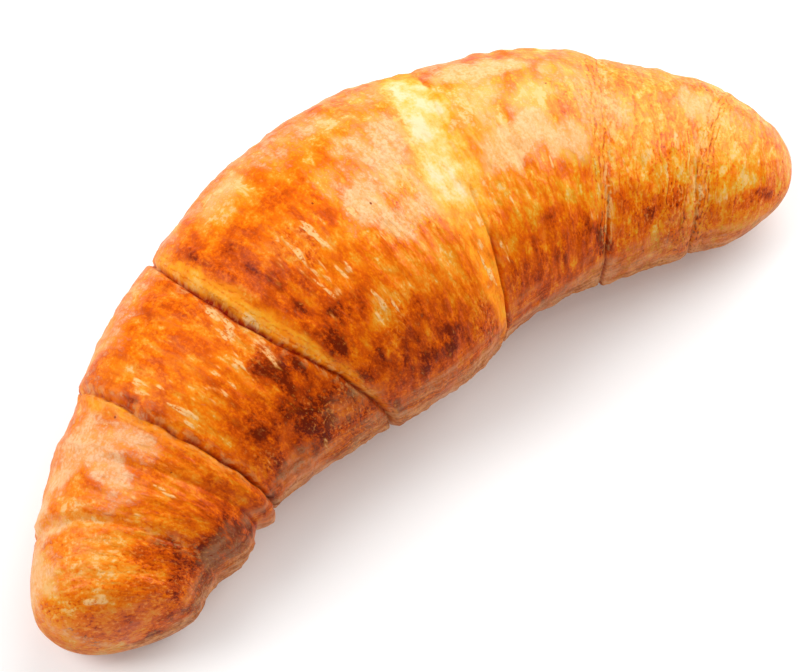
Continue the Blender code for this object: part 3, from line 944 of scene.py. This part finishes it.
def flake_marks(nodes, marks):
    """Painted glints, pale highlights with golden halos, tiny dots on rough places, and crumbs by the
    creases.
    """
    specks = marks["specks"]
    # The flakes noise draws the painted glints: pale highlights with golden halos
    needed = nodes.sum(0.72, (nodes.field("painted_glints"), -0.21))
    flakes = nodes.math("SUBTRACT", marks["flakes"], needed)
    rough_places = nodes.math("MAXIMUM", nodes.sum(0.12, (nodes.field("flaky"), 0.88)), marks["strips"])
    crumbs = nodes.times(nodes.rise(marks["crumbs"], 0.46, 0.6), nodes.field("lips"))
    return {
        "glint halos": nodes.times(nodes.rise(flakes, -0.08, 0.1), nodes.rise(specks, 0.32, 0.5)),
        "painted_glints": nodes.times(nodes.rise(flakes, 0.01, 0.12), nodes.rise(specks, 0.35, 0.5)),
        "pale dots": nodes.times(nodes.rise(marks["tiny dots"], 0.58, 0.7), rough_places),
        "dark dots": nodes.times(nodes.fall(marks["tiny dots"], 0.3, 0.42), rough_places),
        "crumbs": nodes.times(crumbs, nodes.rise(specks, 0.34, 0.5)),
    }


def weighed(marks, weights):
    """Each mark that has a weight, with that weight."""
    return [(marks[name], weight) for name, weight in weights.items()]


def baked_colour(nodes, marks):
    """The crust's colour from its bake and painted shade, with the painted highlight sheen over it."""
    uneven, speckled, streaked = marks["uneven"], marks["speckled"], marks["streaked"]
    mottle = nodes.sum(uneven, (streaked, 0.6), (speckled, 0.7))
    darker, paler = nodes.math("MAXIMUM", mottle, 0.0), nodes.math("MINIMUM", mottle, 0.0)
    bake = nodes.sum(nodes.field("bake"), (darker, 0.7), (paler, 1.3), *weighed(marks, BAKE_CHANGES))
    bake = nodes.limited(bake)
    gold = nodes.field("gold")
    crust = nodes.mix(gold, nodes.ramp(bake, RED_CRUST), nodes.ramp(bake, GOLD_CRUST))
    # The painted highlight sheen over the crust
    sheen_amount = nodes.sum(nodes.field("painted_sheen"), (streaked, 1.2), (uneven, 0.8), (speckled, 0.7))
    sheen_colour = nodes.ramp(nodes.sum(marks["specks"], (uneven, 0.5)), PAINTED_SHEEN_COLOURS)
    sheen_colour = nodes.mix(gold, sheen_colour, GOLDEN_TINT, "MULTIPLY")
    return nodes.mix(nodes.times(nodes.rise(sheen_amount, 0.22, 1.0), PAINTED_SHEEN_SHARE), crust, sheen_colour)


def inner_dough(nodes, marks):
    """Where the pale inner dough shows, from 0 to 1, and its colour."""
    uneven, speckled, broad = marks["uneven"], marks["speckled"], marks["broadly uneven"]
    pale, band = nodes.field("pale"), nodes.field("band")
    blotchy = nodes.times(nodes.sum(uneven, (speckled, 0.6), (broad, 1.2)), nodes.sum(0.65, (band, 0.35)))
    doughy = nodes.sum(pale, (marks["painted_glints"], 0.3), (marks["between layers"], -0.3), (blotchy, 1.0))
    dithered = nodes.sum(band, (marks["streaked"], 1.3), (speckled, 0.9), (uneven, 0.9), (broad, 0.8))
    ledges = nodes.times(nodes.rise(nodes.sum(pale, (uneven, 0.5)), 0.08, 0.5), nodes.field("ledges"))
    shown = nodes.math("MAXIMUM", ledges, nodes.rise(dithered, 0.2, 0.9))
    return shown, nodes.ramp(nodes.limited(doughy), INNER_DOUGH)


def covered(nodes, colour, marks, names):
    """The colour with the named marks over it, one after another."""
    for name in names:
        share, mark_colour = MARK_COLOURS[name]
        colour = nodes.mix(nodes.times(marks[name], share), colour, mark_colour)
    return colour


def crust_material():
    nodes = Nodes("baked crust")
    marks = noise_marks(nodes, nodes.field("place", "Vector"))
    marks.update(tear_marks(nodes, marks))
    marks.update(layer_marks(nodes, marks))
    marks.update(flake_marks(nodes, marks))
    marks["underside"] = nodes.field("under")

    shown, inner = inner_dough(nodes, marks)
    colour = nodes.mix(shown, baked_colour(nodes, marks), inner)
    # Painted highlights: pale glints with golden halos
    colour = covered(nodes, colour, marks, ("glint halos", "painted_glints"))
    # The dull low sides: unglazed crust with a painted reflection of the white table
    dulled = nodes.sum(marks["strip grain"], (marks["speckled"], 1.1), (marks["uneven"], 0.8))
    dull_and_reflection_share = nodes.times(nodes.field("dull_and_reflection"), DULL_AND_REFLECTION_SHARE)
    colour = nodes.mix(dull_and_reflection_share, colour, nodes.ramp(dulled, DULL_AND_REFLECTED_CRUST))
    colour = covered(nodes, colour, marks, ("underside", "pale dots", "crumbs"))
    # Painted shade in the creases, and burnt specks
    colour = covered(nodes, colour, marks, ("painted crease shade", "burnt specks"))
    nodes.feed(nodes.shader.inputs["Base Color"], colour)

    rough = nodes.sum(0.36, (shown, 0.15), (marks["uneven"], 0.3), (marks["strips"], 0.15))
    nodes.feed(nodes.shader.inputs["Roughness"], rough)
    height = nodes.sum(0.0, *weighed(marks, BUMP_HEIGHTS))
    bump = nodes.node("ShaderNodeBump", {"Height": height, "Strength": 1.0, "Distance": BUMP_DISTANCE})
    nodes.feed(nodes.shader.inputs["Normal"], bump.outputs[0])
    nodes.feed(nodes.shader.inputs["Coat Normal"], bump.outputs[0])
    nodes.feed(nodes.shader.inputs["Coat Weight"], nodes.field("glaze"))
    nodes.set_shader(CRUST_SHADER)
    return nodes.material


def add_object(name, data):
    made = bpy.data.objects.new(name, data)
    bpy.context.scene.collection.objects.link(made)
    return made


def add_croissant():
    croissant = add_object("croissant_crust", crust_mesh())
    croissant.data.materials.append(crust_material())
    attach(croissant, "root")
    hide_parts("croissant")


def direction(azimuth, elevation):
    """The way a line points at an azimuth from +X and an elevation above the floor, in degrees."""
    azimuth, elevation = math.radians(azimuth), math.radians(elevation)
    level = math.cos(elevation)
    return Vector((math.cos(azimuth) * level, math.sin(azimuth) * level, math.sin(elevation)))


def add_camera():
    data = bpy.data.cameras.new("camera")
    data.lens = LENS
    data.clip_start = CLIP_START
    camera = add_object("camera", data)
    looking = direction(VIEW_AZIMUTH, -VIEW_ELEVATION)
    camera.location = AIM - looking * VIEW_DISTANCE
    camera.rotation_euler = looking.to_track_quat("-Z", "Y").to_euler()
    bpy.context.scene.camera = camera


def add_floor():
    mesh = bpy.data.meshes.new("floor")
    corners = [(x * FLOOR_HALF, y * FLOOR_HALF, 0) for x, y in ((-1, -1), (1, -1), (1, 1), (-1, 1))]
    mesh.from_pydata(corners, [], [(0, 1, 2, 3)])
    floor = add_object("floor", mesh)
    floor.location.z = -FLOOR_GAP
    nodes = Nodes("white table")
    mottle = nodes.node("ShaderNodeTexNoise", {"Scale": FLOOR_GRAIN_SCALE})
    nodes.feed(nodes.shader.inputs["Base Color"], nodes.mix(mottle.outputs["Fac"], *FLOOR_COLOURS))
    nodes.set_shader(FLOOR_SHADER)
    mesh.materials.append(nodes.material)


def add_window(name, where, size, power):
    data = bpy.data.lights.new(name, "AREA")
    data.shape = "RECTANGLE"
    data.size, data.size_y = size
    data.energy = power
    light = add_object(name, data)
    towards = direction(*where)
    light.location = towards * WINDOW_DISTANCE
    light.rotation_euler = towards.to_track_quat("Z", "Y").to_euler()


def add_lights():
    """White light from all round, which doesn't show in the glaze, and the windows, which do."""
    world = bpy.data.worlds.new("studio")
    world.use_nodes = True
    for name, value in WORLD_SHADER.items():
        world.node_tree.nodes["Background"].inputs[name].default_value = value
    bpy.context.scene.world = world
    world.cycles_visibility.glossy = False
    for window in WINDOWS:
        add_window(*window)


add_camera()
add_croissant()
add_floor()
add_lights()
bpy.context.scene.view_settings.view_transform = "Standard"
